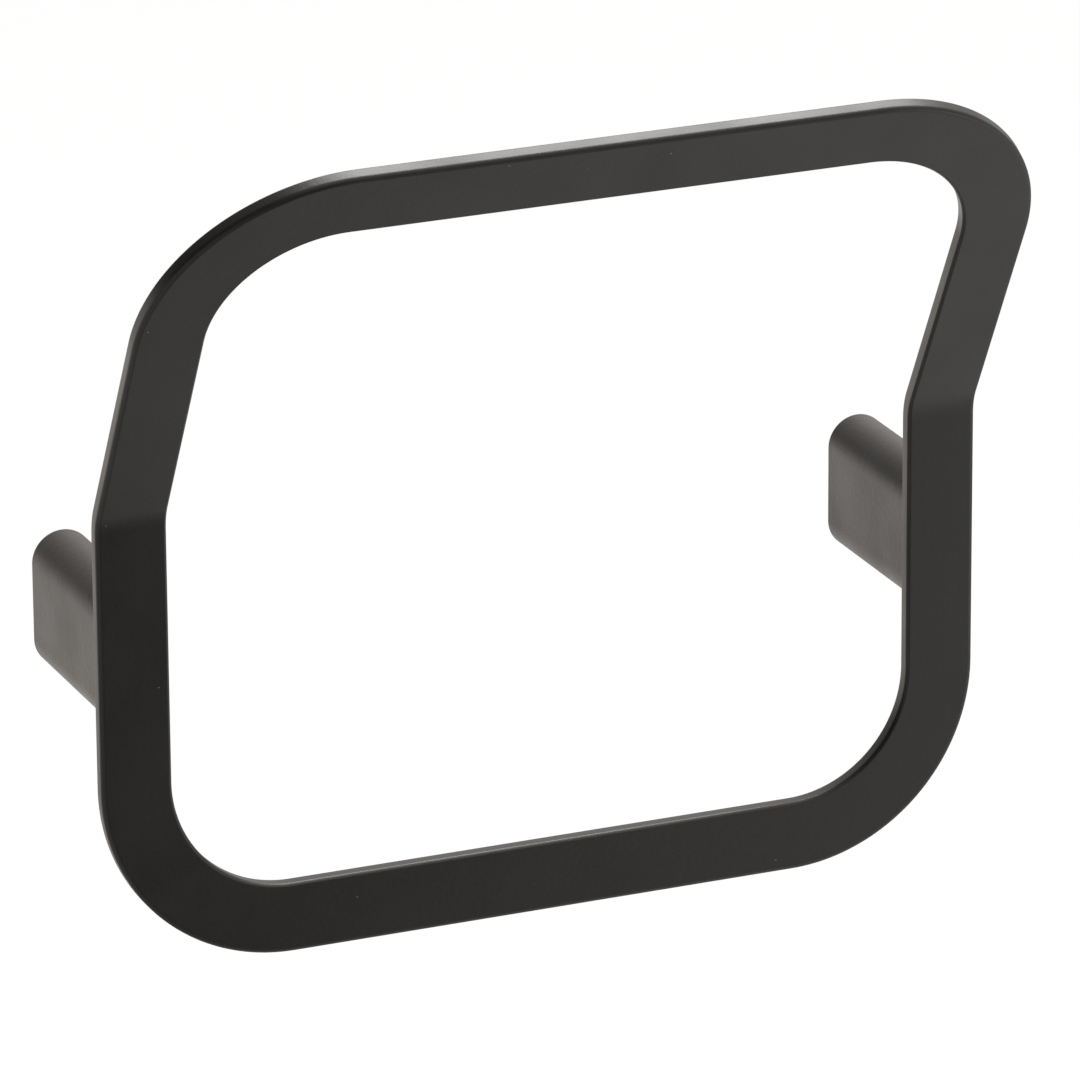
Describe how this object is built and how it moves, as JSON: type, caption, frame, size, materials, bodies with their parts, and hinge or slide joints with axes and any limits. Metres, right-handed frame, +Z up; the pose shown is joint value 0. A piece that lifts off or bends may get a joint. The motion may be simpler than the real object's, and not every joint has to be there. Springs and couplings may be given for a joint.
{
  "type": "towel ring",
  "caption": "Folded flat-bar towel ring with rounded corners on hollow wall posts, matt black coated, held by concealed brackets and set screws.",
  "frame": {"origin": "on the wall plane, at the centre of the rectangle of wall screw holes, half-way between the posts", "axes": "+Z up, +Y into the wall, +X to the right as one faces the wall"},
  "size_m": [0.25, 0.1098, 0.2314],
  "materials": {
    "matt_black_coat": "matt black powder coat with a fine grain",
    "zinc_plated_steel": "bright zinc plated steel"
  },
  "bodies": {
    "root": {"ring_frame": "matt_black_coat", "left_post": "matt_black_coat", "left_wall_bracket": "zinc_plated_steel", "left_set_screw": "zinc_plated_steel", "left_lower_frame_screw": "zinc_plated_steel", "left_upper_frame_screw": "zinc_plated_steel", "right_post": "matt_black_coat", "right_wall_bracket": "zinc_plated_steel", "right_set_screw": "zinc_plated_steel", "right_lower_frame_screw": "zinc_plated_steel", "right_upper_frame_screw": "zinc_plated_steel"}
  },
  "joints": []
}
